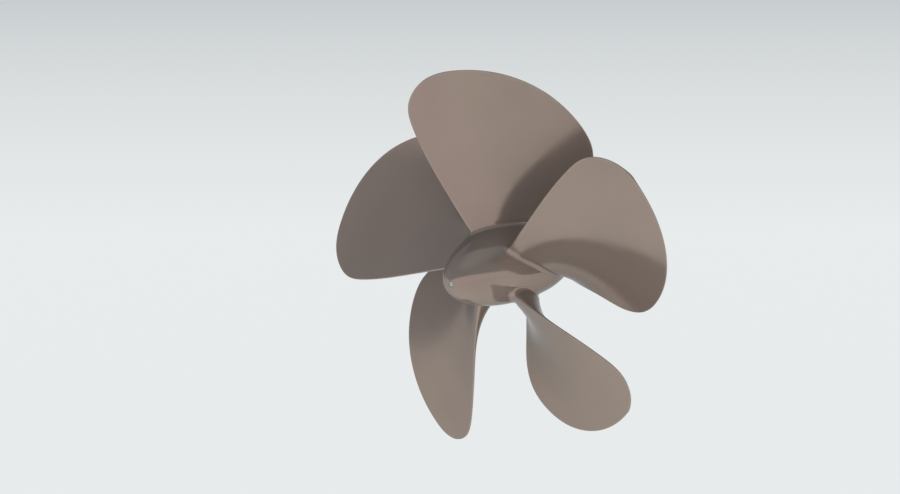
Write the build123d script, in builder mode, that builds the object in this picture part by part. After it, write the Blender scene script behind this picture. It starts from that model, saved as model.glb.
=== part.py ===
"""Five-bladed fixed-pitch bronze boat propeller on its tail shaft and stern bearing.

The shaft runs along Y. The nose of the propeller points towards -Y and the boat lies towards +Y.
The origin is on the shaft axis, halfway along the stern bearing. Stations along the propeller are
measured from its reference plane, positive towards the nose.
"""
from build123d import *
import os

# ---------------------------------------------------------------- driving dimensions, mm and degrees
# propeller
blade_count = 5
pitch = 671.0
first_blade_angle = 41.1  # reference line of blade_1, to the left of the top as seen from the nose
blade_wrap = 112.0  # angle around the shaft that a blade's helical strip covers
strip_inner_radius = 36.0
strip_outer_radius = 310.0
strip_inner_half_width = 10.5  # half of a blade's width, measured around the shaft
strip_outer_half_width = 8.0
blade_edge_round = 1.5

# hub and nose cap: one fair body of two half ellipsoids
hub_radius = 66.5
widest_station = -130.0
nose_semi_axis = 187.0
back_semi_axis = 113.0
hub_forward_station = -211.0
cap_seam_station = 5.0

# tail shaft
shaft_radius = 25.0
taper_start_station = -195.0
taper_end_station = -33.0
taper_rate = 1 / 16  # on diameter
shoulder_gap = 3.0  # the taper stops this far inside the hub, so that the nut can draw it up
thread_radius = 18.0
thread_chamfer = 1.5
shaft_end_station = 28.0
shaft_overhang = 5.0  # full-size shaft between the bearing and the coupling seat
coupling_seat_radius = 24.0
coupling_seat_length = 50.0
coupling_seat_chamfer = 2.0

# stern bearing
bearing_length = 150.0
bearing_gap = 20.0
shell_outer_radius = 35.0
shell_inner_radius = 31.0
shell_chamfer = 1.0
lining_clearance = 0.08
water_groove_count = 8
water_groove_radius = 3.0

# key
key_width = 12.0
key_length = 100.0
key_station = -95.0
key_floor_radius = 17.5
key_top_radius = 27.5

# nuts and washers on the shaft's thread
nut_across_flats = 55.0
nut_height = 29.0
jam_nut_height = 18.0
nut_bevel_radius = 30.0
nut_bevel_height = 2.5
washer_radius = 33.0
washer_height = 4.0
tab_thickness = 2.0
tab_width = 12.0
tab_length = 8.0
tongue_width = 5.0
tongue_floor_radius = 15.0

# nose cap and its screw
counterbore_radius = 38.0
spigot_length = 16.0
cap_inner_radius = 33.0
cap_shoulder_station = 21.0
cap_waist = (33.0, 26.0)  # station and radius where the cavity narrows
cap_floor = (38.0, 20.0)
screw_radius = 2.0
screw_clearance = 0.25
screw_engagement = 14.0
screw_head_radius = 3.5
screw_head_height = 2.6
screw_slot_width = 1.2
screw_slot_depth = 1.1
head_pocket_radius = 4.3
head_pocket_depth = 4.0
screw_washer_height = 0.8
tapped_hole_depth = 20.0

# seal rings
cap_seal_radius = 1.25
cap_seal_station = -7.5
hub_seal_radius = 2.25
hub_seal_station = -203.0
seal_slack = 0.4  # room on each side of a ring, along the shaft

# lock screw through the hub's rim into the cap's spigot
lock_screw_angle = 197.0  # from +X towards +Z, as seen from the nose
lock_screw_station = -2.0
lock_screw_radius = 2.5
lock_screw_inner = 36.0
lock_screw_outer = 47.0
lock_screw_hole_outer = 52.0
lock_screw_socket_flats = 2.5
lock_screw_socket_depth = 2.5

cut_margin = 1.0  # how far a cut reaches past a surface that it opens
tab_tongue_inset = 1.0  # the tongue's outline starts this far inside the tab washer's rim

# ---------------------------------------------------------------- frames
propeller_y = hub_forward_station - bearing_gap - bearing_length / 2
# seen from the nose: X to the right, Z up, local z towards the nose
nose_view = Plane(origin=(0, propeller_y, 0), x_dir=(1, 0, 0), z_dir=(0, -1, 0))
# half section through the shaft: local x towards the nose, local y the radius
half_section = Plane(origin=(0, propeller_y, 0), x_dir=(0, -1, 0), z_dir=(-1, 0, 0))
shaft_axis = Axis((0, 0, 0), (0, 1, 0))

os.makedirs("parts", exist_ok=True)


def save(part, name):
    """Label a finished piece and write it to its own STEP file."""
    part.label = name
    export_step(part, f"parts/{name}.step")


def taper_radius(station):
    """Radius of the shaft's taper at a station."""
    return shaft_radius - (station - taper_start_station) * taper_rate / 2


def revolved(points, mode=Mode.ADD):
    """Revolve a closed outline of (station, radius) points about the shaft."""
    with BuildSketch(half_section) as outline:
        with BuildLine():
            Polyline(*points, close=True)
        make_face()
    revolve(outline.sketch, axis=shaft_axis, mode=mode)


def seal_groove(station, ring_radius, floor_radius, mouth_radius):
    """Cut a square ring groove between two radii, a little wider than its seal ring."""
    half_width = ring_radius + seal_slack
    revolved(
        [
            (station - half_width, floor_radius),
            (station - half_width, mouth_radius),
            (station + half_width, mouth_radius),
            (station + half_width, floor_radius),
        ],
        mode=Mode.SUBTRACT,
    )


def seal_ring(station, centre_radius, ring_radius):
    """A round-section seal ring about the shaft."""
    with BuildPart() as ring:
        with BuildSketch(half_section):
            with Locations((station, centre_radius)):
                Circle(ring_radius)
        revolve(axis=shaft_axis)
    return ring.part


def key_slot(top_radius, mode=Mode.ADD):
    """The key's round-ended outline, from its floor up to a radius above the shaft's axis."""
    with BuildSketch(Plane.XY.offset(key_floor_radius)) as slot:
        with Locations((0, propeller_y - key_station)):
            SlotOverall(key_length, key_width, rotation=90)
    extrude(slot.sketch, amount=top_radius - key_floor_radius, mode=mode)


# ---------------------------------------------------------------- fair body of hub and nose cap
nose_station = widest_station + nose_semi_axis
with BuildPart() as fair_body:
    with BuildSketch(half_section):
        with BuildLine():
            nose_arc = EllipticalCenterArc((widest_station, 0), nose_semi_axis, hub_radius, 0, arc_size=90)
            back_arc = EllipticalCenterArc((widest_station, 0), back_semi_axis, hub_radius, 90, arc_size=90)
            Line(back_arc @ 1, nose_arc @ 0)
        make_face()
    revolve(axis=shaft_axis)
    split(bisect_by=nose_view.offset(hub_forward_station), keep=Keep.TOP)

# plane across the shaft that looks out through the lock screw
lock_screw_plane = Plane(
    origin=nose_view.offset(lock_screw_station).origin,
    z_dir=Vector(1, 0, 0).rotate(shaft_axis, -lock_screw_angle),
)

# ---------------------------------------------------------------- hub
with BuildPart() as hub:
    add(fair_body.part)
    split(bisect_by=nose_view.offset(cap_seam_station), keep=Keep.BOTTOM)
    # parallel bore, taper, and counterbore for the nuts
    revolved(
        [
            (hub_forward_station, 0),
            (hub_forward_station, shaft_radius),
            (taper_start_station, shaft_radius),
            (taper_end_station, taper_radius(taper_end_station)),
            (taper_end_station, counterbore_radius),
            (cap_seam_station, counterbore_radius),
            (cap_seam_station, 0),
        ],
        mode=Mode.SUBTRACT,
    )
    hub_seal_outer = shaft_radius + 2 * hub_seal_radius
    seal_groove(hub_seal_station, hub_seal_radius, shaft_radius - cut_margin, hub_seal_outer)
    # keyway, open at the nut seat
    key_slot(key_top_radius, mode=Mode.SUBTRACT)
    with BuildSketch(Plane.XY.offset(key_floor_radius)):
        with Locations((0, propeller_y - taper_end_station)):
            keyway_run = taper_end_station - key_station
            Rectangle(key_width, keyway_run, align=(Align.CENTER, Align.MIN))
    extrude(amount=key_top_radius - key_floor_radius, mode=Mode.SUBTRACT)
    # threaded hole of the lock screw
    with BuildSketch(lock_screw_plane.offset(lock_screw_inner)):
        Circle(lock_screw_radius)
    extrude(amount=lock_screw_hole_outer - lock_screw_inner, mode=Mode.SUBTRACT)
save(hub.part, "hub")

# ---------------------------------------------------------------- blades
# A blade is a helical strip of constant pitch, cut to the blade's outline as seen along the shaft.
first_blade_view = Plane(
    origin=nose_view.origin,
    x_dir=Vector(1, 0, 0).rotate(shaft_axis, -first_blade_angle),
    z_dir=nose_view.z_dir,
)
strip_length = pitch * blade_wrap / 360
with BuildSketch(first_blade_view.offset(-strip_length)) as strip_section:
    with BuildLine():
        Polyline(
            (-strip_inner_half_width, strip_inner_radius),
            (strip_inner_half_width, strip_inner_radius),
            (strip_outer_half_width, strip_outer_radius),
            (-strip_outer_half_width, strip_outer_radius),
            close=True,
        )
    make_face()
strip = Solid.extrude_linear_with_rotation(
    strip_section.sketch.face().rotate(shaft_axis, blade_wrap),
    center=first_blade_view.offset(-strip_length).origin,
    normal=first_blade_view.z_dir * strip_length,
    angle=blade_wrap,
)

with BuildPart() as blade:
    add(strip)
    with BuildSketch(first_blade_view.offset(-strip_length)):
        with BuildLine():
            near_edge = Line((6.5, 0), (36, 232))
            tip_and_far_edge = Spline(
                near_edge @ 1,
                (50, 267),
                (86, 283.5),
                (138, 265.5),
                (187, 221),
                (217, 163),
                (222, 108),
                (207, 62),
                (180, 40),
                (137, 27),
                (110, 18),
                (78, 3),
                (20, -18),
            )
            Line(tip_and_far_edge @ 1, near_edge @ 0)
        make_face()
    extrude(amount=strip_length, mode=Mode.INTERSECT)
    add(fair_body.part, mode=Mode.SUBTRACT)
    rim_edges = blade.edges().sort_by(SortBy.LENGTH)[-4:]
    fillet(rim_edges, blade_edge_round)

for number in range(blade_count):
    turned = blade.part.rotate(shaft_axis, number * 360 / blade_count)
    save(turned, f"blade_{number + 1}")

# ---------------------------------------------------------------- tail shaft
bearing_forward_station = hub_forward_station - bearing_gap - bearing_length
seat_station = bearing_forward_station - shaft_overhang
forward_station = seat_station - coupling_seat_length
shoulder_station = taper_end_station - shoulder_gap
nut_station = taper_end_station + washer_height
tab_washer_station = nut_station + nut_height
jam_nut_station = tab_washer_station + tab_thickness
with BuildPart() as tail_shaft:
    revolved(
        [
            (forward_station, 0),
            (forward_station, coupling_seat_radius - coupling_seat_chamfer),
            (forward_station + coupling_seat_chamfer, coupling_seat_radius),
            (seat_station, coupling_seat_radius),
            (seat_station, shaft_radius),
            (taper_start_station, shaft_radius),
            (shoulder_station, taper_radius(shoulder_station)),
            (shoulder_station, thread_radius),
            (shaft_end_station - thread_chamfer, thread_radius),
            (shaft_end_station, thread_radius - thread_chamfer),
            (shaft_end_station, 0),
        ]
    )
    key_slot(key_top_radius, mode=Mode.SUBTRACT)
    # tapped hole for the cap screw
    with BuildSketch(nose_view.offset(shaft_end_station)):
        Circle(screw_radius)
    extrude(amount=-tapped_hole_depth, mode=Mode.SUBTRACT)
    # slot in the thread for the tab washer's tongue
    with BuildSketch(nose_view.offset(shaft_end_station)):
        with Locations((0, -tongue_floor_radius)):
            Rectangle(tongue_width, thread_radius, align=(Align.CENTER, Align.MAX))
    extrude(amount=tab_washer_station - shaft_end_station, mode=Mode.SUBTRACT)
save(tail_shaft.part, "tail_shaft")

# ---------------------------------------------------------------- key
with BuildPart() as shaft_key:
    key_slot(key_top_radius)
save(shaft_key.part, "shaft_key")


# ---------------------------------------------------------------- nuts and washers
def hexagon_nut(face_station, height):
    """A hexagon nut on the shaft's thread, with its outer corners bevelled."""
    with BuildPart() as nut:
        with BuildSketch(nose_view.offset(face_station)):
            RegularPolygon(nut_across_flats / 2, side_count=6, major_radius=False)
            Circle(thread_radius, mode=Mode.SUBTRACT)
        extrude(amount=height)
        corner_radius = nut_across_flats / 3**0.5
        top_station = face_station + height
        revolved(
            [
                (face_station, 0),
                (face_station, corner_radius + cut_margin),
                (top_station - nut_bevel_height, corner_radius + cut_margin),
                (top_station, nut_bevel_radius - nut_bevel_height),
                (top_station, 0),
            ],
            mode=Mode.INTERSECT,
        )
    return nut.part


save(hexagon_nut(nut_station, nut_height), "propeller_nut")
save(hexagon_nut(jam_nut_station, jam_nut_height), "jam_nut")

with BuildPart() as nut_washer:
    with BuildSketch(nose_view.offset(taper_end_station)):
        Circle(washer_radius)
        Circle(thread_radius, mode=Mode.SUBTRACT)
    extrude(amount=washer_height)
save(nut_washer.part, "nut_washer")

tab_radius = nut_across_flats / 2 + tab_thickness
with BuildPart() as tab_washer:
    with BuildSketch(nose_view.offset(tab_washer_station)):
        Circle(tab_radius)
        Circle(thread_radius, mode=Mode.SUBTRACT)
        with Locations((0, -tongue_floor_radius)):
            tongue_length = tab_radius - tongue_floor_radius - tab_tongue_inset
            Rectangle(tongue_width, tongue_length, align=(Align.CENTER, Align.MAX))
    extrude(amount=tab_thickness)
    # one tab is bent over a flat of the propeller nut, the other over a flat of the jam nut
    with BuildSketch(nose_view.offset(tab_washer_station)):
        with Locations((0, tab_radius)):
            Rectangle(tab_width, tab_thickness, align=(Align.CENTER, Align.MAX))
    extrude(amount=-tab_length)
    with BuildSketch(nose_view.offset(jam_nut_station)):
        with Locations((0, -tab_radius)):
            Rectangle(tab_width, tab_thickness, align=(Align.CENTER, Align.MIN))
    extrude(amount=tab_length)
save(tab_washer.part, "tab_washer")

# ---------------------------------------------------------------- nose cap
spigot_end_station = cap_seam_station - spigot_length
with BuildPart() as nose_cap:
    add(fair_body.part)
    split(bisect_by=nose_view.offset(cap_seam_station), keep=Keep.TOP)
    with BuildSketch(nose_view.offset(spigot_end_station)):
        Circle(counterbore_radius)
    extrude(amount=spigot_length)
    # cavity over the nuts
    revolved(
        [
            (spigot_end_station, 0),
            (spigot_end_station, cap_inner_radius),
            (cap_shoulder_station, cap_inner_radius),
            cap_waist,
            cap_floor,
            (cap_floor[0], 0),
        ],
        mode=Mode.SUBTRACT,
    )
    cap_seal_inner = counterbore_radius - 2 * cap_seal_radius
    cap_seal_outer = counterbore_radius + cut_margin
    seal_groove(cap_seal_station, cap_seal_radius, cap_seal_inner, cap_seal_outer)
    with Locations(nose_view.offset(nose_station)):
        CounterBoreHole(screw_radius + screw_clearance, head_pocket_radius, head_pocket_depth)
    # dimple for the lock screw
    with BuildSketch(lock_screw_plane.offset(lock_screw_inner)):
        Circle(lock_screw_radius)
    extrude(amount=counterbore_radius - lock_screw_inner, mode=Mode.SUBTRACT)
save(nose_cap.part, "nose_cap")

# ---------------------------------------------------------------- cap screw and its washer
pocket_station = nose_station - head_pocket_depth
head_station = pocket_station + screw_washer_height
screw_end_station = shaft_end_station - screw_engagement
with BuildPart() as cap_screw:
    with BuildSketch(nose_view.offset(screw_end_station)):
        Circle(screw_radius)
    extrude(amount=head_station - screw_end_station)
    with BuildSketch(nose_view.offset(head_station)):
        Circle(screw_head_radius)
    extrude(amount=screw_head_height)
    with BuildSketch(nose_view.offset(head_station + screw_head_height)):
        Rectangle(2 * screw_head_radius, screw_slot_width)
    extrude(amount=-screw_slot_depth, mode=Mode.SUBTRACT)
save(cap_screw.part, "cap_screw")

with BuildPart() as cap_screw_washer:
    with BuildSketch(nose_view.offset(pocket_station)):
        Circle(screw_head_radius)
        Circle(screw_radius, mode=Mode.SUBTRACT)
    extrude(amount=screw_washer_height)
save(cap_screw_washer.part, "cap_screw_washer")

# ---------------------------------------------------------------- lock screw
with BuildPart() as cap_lock_screw:
    with BuildSketch(lock_screw_plane.offset(lock_screw_inner)):
        Circle(lock_screw_radius)
    extrude(amount=lock_screw_outer - lock_screw_inner)
    with BuildSketch(lock_screw_plane.offset(lock_screw_outer)):
        RegularPolygon(lock_screw_socket_flats / 2, side_count=6, major_radius=False)
    extrude(amount=-lock_screw_socket_depth, mode=Mode.SUBTRACT)
save(cap_lock_screw.part, "cap_lock_screw")

# ---------------------------------------------------------------- seal rings
cap_seal = seal_ring(cap_seal_station, counterbore_radius - cap_seal_radius, cap_seal_radius)
save(cap_seal, "cap_seal_ring")
hub_seal = seal_ring(hub_seal_station, shaft_radius + hub_seal_radius, hub_seal_radius)
save(hub_seal, "hub_seal_ring")

# ---------------------------------------------------------------- stern bearing
bearing_end = Plane(origin=(0, bearing_length / 2, 0), x_dir=(1, 0, 0), z_dir=(0, -1, 0))
with BuildPart() as bearing_shell:
    with BuildSketch(bearing_end):
        Circle(shell_outer_radius)
        Circle(shell_inner_radius, mode=Mode.SUBTRACT)
    extrude(amount=bearing_length)
    outer_rims = bearing_shell.edges().filter_by(GeomType.CIRCLE).group_by(SortBy.RADIUS)[-1]
    chamfer(outer_rims, shell_chamfer)
save(bearing_shell.part, "bearing_shell")

with BuildPart() as bearing_lining:
    with BuildSketch(bearing_end):
        Circle(shell_inner_radius)
        Circle(shaft_radius + lining_clearance, mode=Mode.SUBTRACT)
        with PolarLocations(shaft_radius, water_groove_count):
            Circle(water_groove_radius, mode=Mode.SUBTRACT)
    extrude(amount=bearing_length)
save(bearing_lining.part, "bearing_lining")
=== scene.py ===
"""Bronze boat propeller: blades, materials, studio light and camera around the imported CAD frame."""
import bpy
import math
import numpy as np
from mathutils import Matrix, Vector


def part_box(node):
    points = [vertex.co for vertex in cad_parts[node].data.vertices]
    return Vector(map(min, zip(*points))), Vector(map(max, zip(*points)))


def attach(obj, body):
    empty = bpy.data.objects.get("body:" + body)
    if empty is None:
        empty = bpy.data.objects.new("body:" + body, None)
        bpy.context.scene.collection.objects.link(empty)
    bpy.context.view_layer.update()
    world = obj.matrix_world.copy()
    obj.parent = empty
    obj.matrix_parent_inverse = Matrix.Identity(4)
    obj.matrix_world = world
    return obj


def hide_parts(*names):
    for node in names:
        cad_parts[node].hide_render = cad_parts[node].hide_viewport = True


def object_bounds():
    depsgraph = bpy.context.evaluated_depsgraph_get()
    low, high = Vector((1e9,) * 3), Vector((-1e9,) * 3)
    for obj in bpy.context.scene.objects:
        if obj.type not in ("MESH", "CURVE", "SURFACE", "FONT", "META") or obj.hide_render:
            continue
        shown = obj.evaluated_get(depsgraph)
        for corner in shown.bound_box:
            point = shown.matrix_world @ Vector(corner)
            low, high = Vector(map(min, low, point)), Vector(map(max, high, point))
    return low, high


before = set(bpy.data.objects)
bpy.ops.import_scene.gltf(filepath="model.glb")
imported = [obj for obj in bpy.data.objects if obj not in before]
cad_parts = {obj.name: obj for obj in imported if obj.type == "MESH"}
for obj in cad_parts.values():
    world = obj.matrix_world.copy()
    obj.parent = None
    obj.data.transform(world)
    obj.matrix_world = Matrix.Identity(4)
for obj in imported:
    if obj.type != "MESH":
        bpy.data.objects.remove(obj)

cad_low, cad_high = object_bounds()

# ---------------------------------------------------------------- sizes, metres, as in the CAD
HUB_FORWARD = 0.211  # hub's forward face, ahead of the propeller's reference plane
PITCH = 0.671
BLADES = 5
FIRST_BLADE = math.radians(41.1)  # reference line of blade_1, left of the top as seen from the nose

# hub and nose cap together: two half ellipsoids that meet where they are widest
HUB_RADIUS = 0.0665
WIDEST = -0.130  # from the reference plane, positive towards the nose
NOSE_SEMI = 0.187
BACK_SEMI = 0.113

# outline of a blade seen along the shaft: reference line upwards, nose towards the viewer, mm;
# it is the CAD's, but for the near edge, which starts 2 mm further in to follow the photograph
NEAR_EDGE = [(8.5, 0), (22.2, 116), (36, 232)]
TIP_AND_FAR_EDGE = [
    (50, 267), (86, 283.5), (138, 265.5), (187, 221), (217, 163), (222, 108),
    (207, 62), (180, 40), (137, 27), (110, 18), (78, 3), (20, -18),
]
MILLIMETRE = 0.001

# blade sections
EDGE_HALF = 0.0010  # half thickness at the rim, which is round
NOSE_SWELL = 0.0122  # swelling of the nose side at the root, where it is fullest
NOSE_FADE = 0.050  # it falls to 1/e in this distance from the hub
BOAT_SWELL = 0.0175  # the same for the boat side
BOAT_FADE = 0.058
NOSE_FULLNESS = (0.82, 1.1)  # towards the near and far edges: a low number is full, a high one hollow
BOAT_FULLNESS = (0.7, 1.3)
BOAT_BELLY = 0.0025  # swelling of the boat side that goes on to the tip

# root fillet
FILLET = 0.006  # its radius
FAR_FILLET = 0.002  # its radius at the far edge
FILLET_END = 0.8  # share of the chord from which the radius falls to that
FOOT_SPREAD = 1.03  # its buried edge lies this many radii out from the blade
SUNK = 0.0006  # and this far inside the hub
FOOT_SEARCH = (0.035, 0.13)  # distances from the shaft between which the blade meets the fillet

# fineness
OUTLINE_SAMPLES = 3000
RIM_STEP = 6  # the distance to the rim is measured to every sixth sample of the outline
CHORD_POINTS = 110
BLADE_ROWS = 100
FILLET_ROWS = 10
SETTLING_STEPS = 6
HALVINGS = 30
RIM_ATTRIBUTE = "rim_distance"  # each blade's mesh keeps this for its material

propeller_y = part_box("hub")[1].y - HUB_FORWARD


# ---------------------------------------------------------------- blades
def spline(points, samples):
    """A natural cubic spline through points, by chord length, as an array of samples."""
    knots = np.array(points, float)
    at = np.r_[0, np.cumsum(np.linalg.norm(np.diff(knots, axis=0), axis=1))]
    gaps = np.diff(at)
    count = len(knots)
    matrix = np.zeros((count, count))
    change = np.zeros((count, 2))
    matrix[0, 0] = matrix[-1, -1] = 1
    for i in range(1, count - 1):
        matrix[i, i - 1 : i + 2] = gaps[i - 1], 2 * (gaps[i - 1] + gaps[i]), gaps[i]
        slope_before = (knots[i] - knots[i - 1]) / gaps[i - 1]
        slope_after = (knots[i + 1] - knots[i]) / gaps[i]
        change[i] = 6 * (slope_after - slope_before)
    bend = np.linalg.solve(matrix, change)
    place = np.linspace(0, at[-1], samples)
    k = np.clip(np.searchsorted(at, place) - 1, 0, count - 2)
    gap = gaps[k][:, None]
    to_next = (at[k + 1] - place)[:, None]
    from_last = (place - at[k])[:, None]
    return (
        bend[k] * to_next**3 / (6 * gap)
        + bend[k + 1] * from_last**3 / (6 * gap)
        + (knots[k] / gap - bend[k] * gap / 6) * to_next
        + (knots[k + 1] / gap - bend[k + 1] * gap / 6) * from_last
    )


def helicoid(radius, angle):
    """Points of the blade's helical face: x right, y along the reference line, z to the nose."""
    lead = PITCH / (2 * math.pi)
    return np.stack([radius * np.sin(angle), radius * np.cos(angle), -lead * angle], -1)


def helicoid_normal(radius, angle):
    """Unit normal of the helical face, on its nose side."""
    lead = PITCH / (2 * math.pi)
    across = np.stack([np.cos(angle) * lead, -np.sin(angle) * lead, radius], -1)
    return across / np.linalg.norm(across, axis=-1)[..., None]


def hub_surface(points):
    """Signed distance of points from the surface of hub and nose cap, and its unit normal there."""
    x, y, along = points[..., 0], points[..., 1], points[..., 2] - WIDEST
    semi = np.where(along > 0, NOSE_SEMI, BACK_SEMI)
    level = np.sqrt((along / semi) ** 2 + (np.hypot(x, y) / HUB_RADIUS) ** 2)
    normal = np.stack([x / HUB_RADIUS**2, y / HUB_RADIUS**2, along / semi**2], -1)
    steepness = np.linalg.norm(normal, axis=-1)
    return (level - 1) * level / steepness, normal / steepness[..., None]


def slide(points, height):
    """Move points straight towards or away from the shaft until they are at a height above the hub."""
    for _ in range(SETTLING_STEPS):
        away = points * (1, 1, 0)
        away = away / np.linalg.norm(away, axis=-1)[..., None]
        points = points - away * (hub_surface(points)[0] - height)[..., None]
    return points


def settle(points, height):
    """Move points square to the hub until they are at a height above it."""
    for _ in range(SETTLING_STEPS):
        distance, normal = hub_surface(points)
        points = points - normal * (distance - height)[..., None]
    return points


outline = spline(NEAR_EDGE + TIP_AND_FAR_EDGE, OUTLINE_SAMPLES) * MILLIMETRE
outline_radius = np.hypot(outline[:, 0], outline[:, 1])
outline_angle = np.arctan2(outline[:, 0], outline[:, 1])
tip = outline_radius.argmax()


def chord_angle(radius, share):
    """Angle at a share of the chord, from the near edge to the far edge, at a radius."""
    near = np.interp(radius, outline_radius[: tip + 1], outline_angle[: tip + 1])
    far = np.interp(radius, outline_radius[: tip - 1 : -1], outline_angle[: tip - 1 : -1])
    return near + (far - near) * share


def fillet_radius(share):
    """Radius of the root fillet at a share of the chord."""
    run_out = np.clip((share - FILLET_END) / (1 - FILLET_END), 0, 1)
    return FILLET + (FAR_FILLET - FILLET) * run_out**2 * (3 - 2 * run_out)


def foot_radius(share):
    """Distance from the shaft at which the mid surface stands a fillet's radius above the hub."""
    low, high = (np.full_like(share, limit) for limit in FOOT_SEARCH)
    for _ in range(HALVINGS):
        middle = (low + high) / 2
        height = hub_surface(helicoid(middle, chord_angle(middle, share)))[0]
        above = height > fillet_radius(share)
        low, high = np.where(above, low, middle), np.where(above, middle, high)
    return (low + high) / 2


def rim_distance(points):
    """Distance of points from the rim of the blade."""
    rim = helicoid(outline_radius[::RIM_STEP], outline_angle[::RIM_STEP])
    nearest = np.full(points.shape[:-1], np.inf)
    for start, end in zip(rim[:-1], rim[1:]):
        run = end - start
        part = np.clip((points - start) @ run / (run @ run), 0, 1)
        nearest = np.minimum(nearest, np.linalg.norm(points - start - part[..., None] * run, axis=-1))
    return nearest


def fullness(share, near, far):
    """Shape of a swelling across the chord: nothing at the edges and 1 at its fullest."""
    fullest = near / (near + far)
    return (share / fullest) ** near * ((1 - share) / (1 - fullest)) ** far


def blade_sections(share):
    """Closed sections from the top of the root fillet outwards: nose side, then boat side."""
    foot = foot_radius(share)
    outwards = np.linspace(0, math.pi / 2, BLADE_ROWS + 1)[:-1, None]
    radius = foot + (outline_radius[tip] - foot) * np.sin(outwards)
    angle = chord_angle(radius, share)
    middle, normal = helicoid(radius, angle), helicoid_normal(radius, angle)
    gap = np.clip(rim_distance(middle) / EDGE_HALF, 0, 1)
    half = EDGE_HALF * np.sqrt(1 - (1 - gap) ** 2)
    nose_swell = NOSE_SWELL * np.exp((foot - radius) / NOSE_FADE)
    boat_swell = BOAT_BELLY + BOAT_SWELL * np.exp((foot - radius) / BOAT_FADE)
    nose_side = middle + normal * (half + nose_swell * fullness(share, *NOSE_FULLNESS))[..., None]
    boat_side = middle - normal * (half + boat_swell * fullness(share, *BOAT_FULLNESS))[..., None]
    return np.concatenate([nose_side, boat_side[:, -2:0:-1]], axis=1)


def foot_at(foot, outwards, radius, rise, spread):
    """The blade's lowest section moved down to a rise, and out by a spread, in fillet radii."""
    moved = slide(foot, rise * radius) + outwards * (spread * radius)[:, None]
    return settle(moved, rise * radius)


def fillet_sections(foot, radius):
    """Closed sections of the root fillet, from inside the hub up to the blade's lowest section."""
    along = np.roll(foot, -1, 0) - np.roll(foot, 1, 0)
    outwards = np.cross(along, hub_surface(foot)[1])
    outwards /= np.linalg.norm(outwards, axis=-1)[:, None]
    sections = [settle(foot_at(foot, outwards, radius, 0.0, FOOT_SPREAD), -SUNK)]
    for turn in np.linspace(0, math.pi / 2, FILLET_ROWS + 1)[:-1]:
        sections.append(foot_at(foot, outwards, radius, 1 - math.cos(turn), 1 - math.sin(turn)))
    return np.array(sections)


def to_frame(points):
    """From the blade's own axes to the frame's, at the place of blade_1."""
    x, y, z = points[..., 0], points[..., 1], points[..., 2]
    c, s = math.cos(FIRST_BLADE), math.sin(FIRST_BLADE)
    return np.stack([c * x - s * y, propeller_y - z, s * x + c * y], -1)


def make_blade_data():
    """Blade_1 as a mesh: fillet and sections closed by a point at the tip."""
    share = (1 - np.cos(np.linspace(0, math.pi, CHORD_POINTS))) / 2
    blade = blade_sections(share)
    around = np.concatenate([share, share[-2:0:-1]])
    sections = np.concatenate([fillet_sections(blade[0], fillet_radius(around)), blade])
    rows, count = sections.shape[:2]
    top = helicoid(outline_radius[tip : tip + 1], outline_angle[tip : tip + 1])
    points = np.concatenate([sections.reshape(-1, 3), top])
    faces = []
    for row in range(rows - 1):
        for column in range(count):
            a, b = row * count + column, row * count + (column + 1) % count
            faces.append((a, a + count, b + count, b))
    last = (rows - 1) * count
    for column in range(count):
        faces.append((last + column, rows * count, last + (column + 1) % count))
    mesh = bpy.data.meshes.new("blade")
    mesh.from_pydata(to_frame(points).tolist(), [], faces)
    mesh.update()
    for polygon in mesh.polygons:
        polygon.use_smooth = True
    distance = mesh.attributes.new(RIM_ATTRIBUTE, "FLOAT", "POINT")
    distance.data.foreach_set("value", rim_distance(points))
    return mesh


# ---------------------------------------------------------------- materials
def new_material(name, colour, metallic, roughness):
    """A material, its node tree and its Principled shader."""
    material = bpy.data.materials.new(name)
    material.use_nodes = True
    tree = material.node_tree
    shader = tree.nodes["Principled BSDF"]
    shader.inputs["Base Color"].default_value = (*colour, 1)
    shader.inputs["Metallic"].default_value = metallic
    shader.inputs["Roughness"].default_value = roughness
    return material, tree, shader


def noise(tree, size, detail=4.0, stretch=(1, 1, 1)):
    """Noise in the object's own coordinates, with spots of about a size in metres."""
    place = tree.nodes.new("ShaderNodeTexCoord")
    mapping = tree.nodes.new("ShaderNodeMapping")
    mapping.inputs["Scale"].default_value = stretch
    texture = tree.nodes.new("ShaderNodeTexNoise")
    texture.inputs["Scale"].default_value = 1 / size
    texture.inputs["Detail"].default_value = detail
    tree.links.new(place.outputs["Object"], mapping.inputs["Vector"])
    tree.links.new(mapping.outputs["Vector"], texture.inputs["Vector"])
    return texture.outputs["Fac"]


def ranged(tree, value, low, high, start=0.35, end=0.65):
    """A value from start to end spread over low to high. The defaults are a noise's middle range."""
    node = tree.nodes.new("ShaderNodeMapRange")
    node.inputs["From Min"].default_value = start
    node.inputs["From Max"].default_value = end
    node.inputs["To Min"].default_value = low
    node.inputs["To Max"].default_value = high
    tree.links.new(value, node.inputs["Value"])
    return node.outputs["Result"]


def mixed(tree, share, first, second):
    """Two colours mixed by a share. Each is a colour or a socket."""
    node = tree.nodes.new("ShaderNodeMix")
    node.data_type = "RGBA"
    # the node has sockets for every data type: the colours are inputs 6 and 7, and output 2
    tree.links.new(share, node.inputs[0])
    for socket, colour in ((node.inputs[6], first), (node.inputs[7], second)):
        if isinstance(colour, tuple):
            socket.default_value = (*colour, 1)
        else:
            tree.links.new(colour, socket)
    return node.outputs[2]


def add_bump(tree, shader, height, depth):
    """Bump by a height from 0 to 1 that is a depth in metres."""
    node = tree.nodes.new("ShaderNodeBump")
    node.inputs["Strength"].default_value = 1
    node.inputs["Distance"].default_value = depth
    tree.links.new(height, node.inputs["Height"])
    tree.links.new(node.outputs["Normal"], shader.inputs["Normal"])


def add_gloss(tree, shader, size, low, high):
    """Roughness that varies from low to high in patches of a size in metres."""
    tree.links.new(ranged(tree, noise(tree, size), low, high), shader.inputs["Roughness"])


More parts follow.
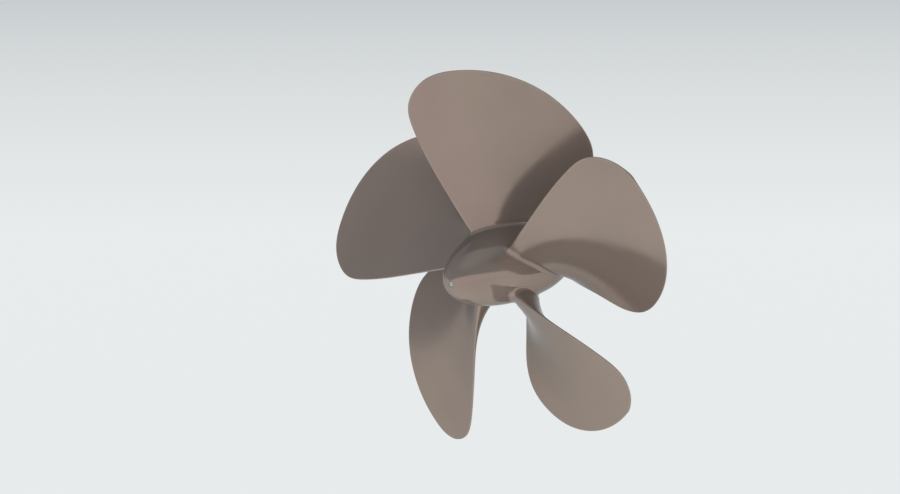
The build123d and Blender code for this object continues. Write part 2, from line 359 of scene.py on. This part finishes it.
def edge_wear(tree, width=0.0008):
    """A share that is 1 along sharp edges, where handling rubs the surface clean."""
    bevel = tree.nodes.new("ShaderNodeBevel")
    bevel.samples = 6
    bevel.inputs["Radius"].default_value = width
    geometry = tree.nodes.new("ShaderNodeNewGeometry")
    agreement = tree.nodes.new("ShaderNodeVectorMath")
    agreement.operation = "DOT_PRODUCT"
    tree.links.new(bevel.outputs["Normal"], agreement.inputs[0])
    tree.links.new(geometry.outputs["Normal"], agreement.inputs[1])
    return ranged(tree, agreement.outputs["Value"], low=1, high=0, start=0.80, end=0.98)


def rim_wear_and_highlight(tree):
    """A share that is 1 at a blade's rim, uneven along it, from the distance kept in the mesh. It
    lightens the rim: rubbed bronze, and a painted highlight along it.
    """
    distance = tree.nodes.new("ShaderNodeAttribute")
    distance.attribute_name = RIM_ATTRIBUTE
    reach = ranged(tree, noise(tree, size=0.025, detail=3), low=0.0015, high=0.005)
    share = tree.nodes.new("ShaderNodeMath")
    share.operation = "DIVIDE"
    tree.links.new(distance.outputs["Fac"], share.inputs[0])
    tree.links.new(reach, share.inputs[1])
    return ranged(tree, share.outputs["Value"], low=1, high=0, start=0, end=1)


BRONZE = (0.363, 0.274, 0.218)
BRONZE_FILM = (0.338, 0.255, 0.203)  # where the brown film is thicker
BRONZE_DARK = (0.305, 0.230, 0.184)  # small specks
BRONZE_RUBBED_AND_HIGHLIGHT = (0.417, 0.315, 0.251)  # edges: rubbed bronze, and on the blades' rims a painted highlight too
BRONZE_METAL = 0.58  # the film lets this share of the bare metal show
GRAZING = 0.22  # how much of the metal's gloss is left at a grazing angle
FILM_IOR = 1.99
FILM_HAZE = 0.96  # roughness of the film's own reflection


def bronze(name, roughness, wear_and_highlight):
    """Propeller bronze under a thin brown film, with faint casting ripple and rubbed edges; on the
    blades' rims the lighter edge is also a painted highlight.
    """
    material, tree, shader = new_material(name, BRONZE, BRONZE_METAL, roughness)
    film = ranged(tree, noise(tree, size=0.09), low=0, high=1)
    shade = mixed(tree, film, BRONZE, BRONZE_FILM)
    speck = ranged(tree, noise(tree, size=0.0025, detail=2), low=0, high=0.15, start=0.5, end=0.75)
    shade = mixed(tree, speck, shade, BRONZE_DARK)
    # lighter colour at the edges: rubbed bronze, and on the blades' rims a painted highlight
    tree.links.new(mixed(tree, wear_and_highlight(tree), shade, BRONZE_RUBBED_AND_HIGHLIGHT), shader.inputs["Base Color"])
    add_gloss(tree, shader, size=0.03, low=roughness * 0.85, high=roughness * 1.15)
    add_bump(tree, shader, noise(tree, size=0.015, detail=2), depth=0.00001)
    shader.inputs["Specular Tint"].default_value = (GRAZING, GRAZING, GRAZING, 1)
    shader.inputs["Coat Weight"].default_value = 1
    shader.inputs["Coat IOR"].default_value = FILM_IOR
    shader.inputs["Coat Roughness"].default_value = FILM_HAZE
    return material


def machined(name, colour, film, rubbed, roughness, marks):
    """Turned or milled metal: cutter marks around the shaft's axis, a patchy film, rubbed edges."""
    material, tree, shader = new_material(name, colour, 1, roughness)
    shade = mixed(tree, ranged(tree, noise(tree, size=0.03), low=0, high=1), colour, film)
    tree.links.new(mixed(tree, edge_wear(tree), shade, rubbed), shader.inputs["Base Color"])
    add_gloss(tree, shader, size=0.006, low=roughness * 0.8, high=roughness * 1.3)
    rings = noise(tree, size=marks, detail=2, stretch=(0.02, 1, 0.02))
    add_bump(tree, shader, rings, depth=0.000002)
    return material


def moulded(name, colour, bloom, roughness, grain):
    """Rubber or fibre: matt and fine-grained, with a pale bloom in patches and along its edges."""
    material, tree, shader = new_material(name, colour, 0, roughness)
    shade = mixed(tree, ranged(tree, noise(tree, size=0.012), low=0, high=0.6), colour, bloom)
    tree.links.new(mixed(tree, edge_wear(tree, width=0.0006), shade, bloom), shader.inputs["Base Color"])
    add_gloss(tree, shader, size=0.004, low=roughness * 0.85, high=roughness * 1.1)
    add_bump(tree, shader, noise(tree, size=grain, detail=3), depth=0.00003)
    return material


# bare metal, film, rubbed edges, roughness, width of a cutter mark
MACHINED = {
    "nut_bronze": ((0.52, 0.38, 0.22), (0.40, 0.28, 0.16), (0.68, 0.52, 0.33), 0.30, 0.0009),
    "shaft_steel": ((0.55, 0.56, 0.57), (0.47, 0.48, 0.48), (0.68, 0.69, 0.70), 0.24, 0.0006),
    "screw_steel": ((0.56, 0.60, 0.57), (0.46, 0.51, 0.47), (0.70, 0.73, 0.71), 0.28, 0.0004),
    "naval_brass": ((0.64, 0.45, 0.22), (0.52, 0.36, 0.18), (0.78, 0.60, 0.36), 0.34, 0.0010),
}
# colour, bloom, roughness, width of a grain
MOULDED = {
    "bearing_rubber": ((0.018, 0.018, 0.019), (0.045, 0.045, 0.046), 0.60, 0.0007),
    "nitrile": ((0.012, 0.012, 0.012), (0.03, 0.03, 0.03), 0.45, 0.0005),
    "red_fibre": ((0.26, 0.06, 0.04), (0.36, 0.12, 0.08), 0.65, 0.0006),
}
MADE_OF = {
    "hub_bronze": ["hub", "nose_cap"],
    "nut_bronze": ["propeller_nut", "jam_nut", "nut_washer"],
    "shaft_steel": ["tail_shaft"],
    "screw_steel": ["shaft_key", "tab_washer", "cap_screw", "cap_lock_screw"],
    "red_fibre": ["cap_screw_washer"],
    "nitrile": ["cap_seal_ring", "hub_seal_ring"],
    "naval_brass": ["bearing_shell"],
    "bearing_rubber": ["bearing_lining"],
}

# the blades' rims are painted lighter: rubbed bronze and a painted highlight along them
blade_bronze = bronze("blade_bronze", roughness=0.20, wear_and_highlight=rim_wear_and_highlight)
materials = {"hub_bronze": bronze("hub_bronze", roughness=0.10, wear_and_highlight=edge_wear)}
for name, recipe in MACHINED.items():
    materials[name] = machined(name, *recipe)
for name, recipe in MOULDED.items():
    materials[name] = moulded(name, *recipe)
for name, nodes in MADE_OF.items():
    for node in nodes:
        node_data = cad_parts[node].data
        node_data.materials.clear()
        node_data.materials.append(materials[name])

blade_data = make_blade_data()
for number in range(BLADES):
    blade = bpy.data.objects.new(f"blade_surface_{number + 1}", blade_data.copy())
    bpy.context.scene.collection.objects.link(blade)
    blade.data.transform(Matrix.Rotation(number * 2 * math.pi / BLADES, 4, "Y"))
    blade.data.materials.append(blade_bronze)
    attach(blade, "propeller")
    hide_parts(f"blade_{number + 1}")

# ---------------------------------------------------------------- camera
AZIMUTH = math.radians(36.96)
ELEVATION = math.radians(17.41)
DISTANCE = 2.6546  # from the point that the camera aims at
LENS = 71.6  # mm, over a sensor 36 mm wide
aim = Vector((-0.0358, propeller_y - 0.0117, 0.0392))


def towards(azimuth, elevation):
    """Unit vector to an azimuth from the nose's side, positive to +X, and an elevation."""
    level = math.cos(elevation)
    return Vector((math.sin(azimuth) * level, -math.cos(azimuth) * level, math.sin(elevation)))


camera_data = bpy.data.cameras.new("camera")
camera_data.lens = LENS
camera_data.sensor_width = 36
camera_data.clip_end = 100
camera = bpy.data.objects.new("camera", camera_data)
camera.location = aim + towards(AZIMUTH, ELEVATION) * DISTANCE
camera.rotation_mode = "QUATERNION"
camera.rotation_quaternion = (-towards(AZIMUTH, ELEVATION)).to_track_quat("-Z", "Y")
bpy.context.scene.collection.objects.link(camera)
bpy.context.scene.camera = camera

# ---------------------------------------------------------------- floor and light
FLOOR_GAP = 0.25  # below the propeller
FLOOR_HALF = 40
FLOOR_GLOW = (0.775, 0.80, 0.80)
FLOOR_FAR_GLOW = (0.30, 0.33, 0.35)
FLOOR_FADE = (2.0, 9.5)  # from one to the other, behind the propeller along the line of sight
DOME_LEAN = math.radians(39)  # of the dome's axis, from the vertical to the side opposite the camera
DOME_TURN = (-0.16, -0.09)  # from bright to dim, along that axis
DOME_BRIGHT = (0.928, 0.901, 0.951)
DOME_DIM = (0.276, 0.306, 0.35)
DOME_TOP = (0.41, 0.488, 0.527)
TOP_TURN = (0.80, 0.98)  # from the rest of the dome to its top, by height
bpy.context.scene.view_settings.view_transform = "Standard"


def make_floor():
    """A pale floor that glows by itself, and darkens far behind the propeller."""
    z = cad_low.z - FLOOR_GAP
    mesh = bpy.data.meshes.new("floor")
    corners = [(x * FLOOR_HALF, y * FLOOR_HALF, z) for x, y in ((-1, -1), (1, -1), (1, 1), (-1, 1))]
    mesh.from_pydata(corners, [], [(0, 1, 2, 3)])
    floor = bpy.data.objects.new("floor", mesh)
    bpy.context.scene.collection.objects.link(floor)
    material, tree, shader = new_material("floor", colour=(0.05, 0.05, 0.05), metallic=0, roughness=0.9)
    place = tree.nodes.new("ShaderNodeTexCoord")
    mapping = tree.nodes.new("ShaderNodeMapping")
    mapping.vector_type = "TEXTURE"
    mapping.inputs["Location"].default_value = (aim.x, aim.y, 0)
    mapping.inputs["Rotation"].default_value = (0, 0, AZIMUTH)
    depth = tree.nodes.new("ShaderNodeSeparateXYZ")
    tree.links.new(place.outputs["Object"], mapping.inputs["Vector"])
    tree.links.new(mapping.outputs["Vector"], depth.inputs["Vector"])
    share = ranged(tree, depth.outputs["Y"], 0, 1, *FLOOR_FADE)
    tree.links.new(mixed(tree, share, FLOOR_GLOW, FLOOR_FAR_GLOW), shader.inputs["Emission Color"])
    shader.inputs["Emission Strength"].default_value = 1
    mesh.materials.append(material)


def make_dome():
    """A studio dome, bright low down and dim above. Its bright part rises on the camera's side."""
    world = bpy.data.worlds.new("studio")
    bpy.context.scene.world = world
    world.use_nodes = True
    tree = world.node_tree
    direction = tree.nodes.new("ShaderNodeTexCoord")
    lean = tree.nodes.new("ShaderNodeVectorMath")
    lean.operation = "DOT_PRODUCT"
    lean.inputs[1].default_value = towards(AZIMUTH + math.pi, math.pi / 2 - DOME_LEAN)
    tree.links.new(direction.outputs["Generated"], lean.inputs[0])
    share = ranged(tree, lean.outputs["Value"], 0, 1, *DOME_TURN)
    height = tree.nodes.new("ShaderNodeSeparateXYZ")
    tree.links.new(direction.outputs["Generated"], height.inputs["Vector"])
    overhead = ranged(tree, height.outputs["Z"], 0, 1, *TOP_TURN)
    glow = mixed(tree, overhead, mixed(tree, share, DOME_BRIGHT, DOME_DIM), DOME_TOP)
    # seen directly, past the floor's edge, the dome has the floor's pale colour
    seen = tree.nodes.new("ShaderNodeLightPath").outputs["Is Camera Ray"]
    tree.links.new(mixed(tree, seen, glow, FLOOR_GLOW), tree.nodes["Background"].inputs["Color"])


make_floor()
make_dome()
